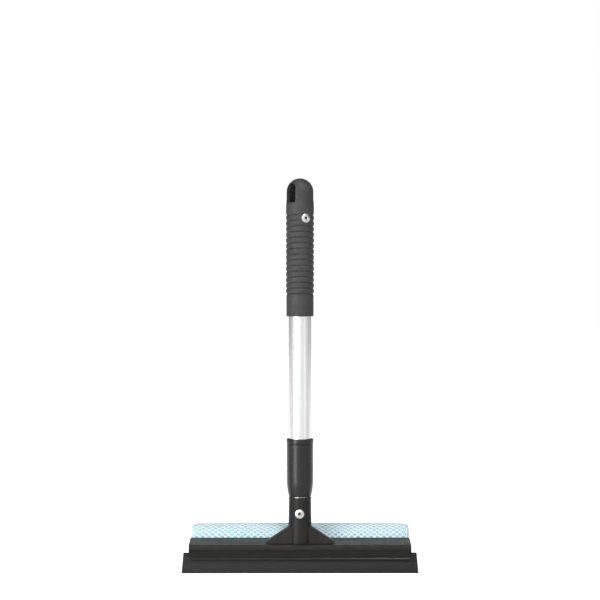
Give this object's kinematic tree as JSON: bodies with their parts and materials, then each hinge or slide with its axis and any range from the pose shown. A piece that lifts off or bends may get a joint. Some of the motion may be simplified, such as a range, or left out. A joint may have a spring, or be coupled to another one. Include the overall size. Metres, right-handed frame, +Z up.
{
  "type": "telescopic window squeegee",
  "caption": "Telescopic hand squeegee: rubber blade in front, net-covered sponge behind, aluminium pole with an inner twist lock, ribbed grip with a hanging slot.",
  "frame": {"origin": "middle of the hanging slot, on the axis of the pole", "axes": "+Z up the pole from the head to the grip's dome; +X along the blade; -Y the blade's side, +Y the sponge's side"},
  "size_m": [0.2004, 0.0632, 0.3352],
  "materials": {
    "grip_plastic": "soft matte, charcoal",
    "collar_plastic": "satin, black",
    "head_plastic": "fine textured, black",
    "tube_aluminium": "satin anodised",
    "rivet_aluminium": "bright",
    "mandrel_steel": "plain zinc",
    "nylon": "natural nylon",
    "blade_rubber": "smooth, black",
    "foam": "open-cell foam, light blue",
    "net": "knotted net, white"
  },
  "bodies": {
    "handle": {"grip": "grip_plastic", "grip_rivet": "rivet_aluminium", "grip_rivet_mandrel": "mandrel_steel", "outer_tube": "tube_aluminium", "collar": "collar_plastic", "guide_bush": "nylon"},
    "lock_ring": {"cam_ring": "nylon"},
    "head": {"lock_plug": "collar_plastic", "inner_tube": "tube_aluminium", "head_frame": "head_plastic", "neck_rivet": "rivet_aluminium", "neck_rivet_mandrel": "mandrel_steel", "blade": "blade_rubber", "sponge": "foam", "net_cover": "net", "sponge_plate": "head_plastic"}
  },
  "joints": [
    {"name": "telescope", "type": "slide", "parent": "handle", "child": "lock_ring", "axis": [0, 0, -1], "range_m": [0, 0.133]},
    {"name": "twist", "type": "hinge", "parent": "lock_ring", "child": "head", "pos_m": [0, 0, -0.061], "axis": [0, 0, 1], "range_deg": [-90, 90]}
  ]
}
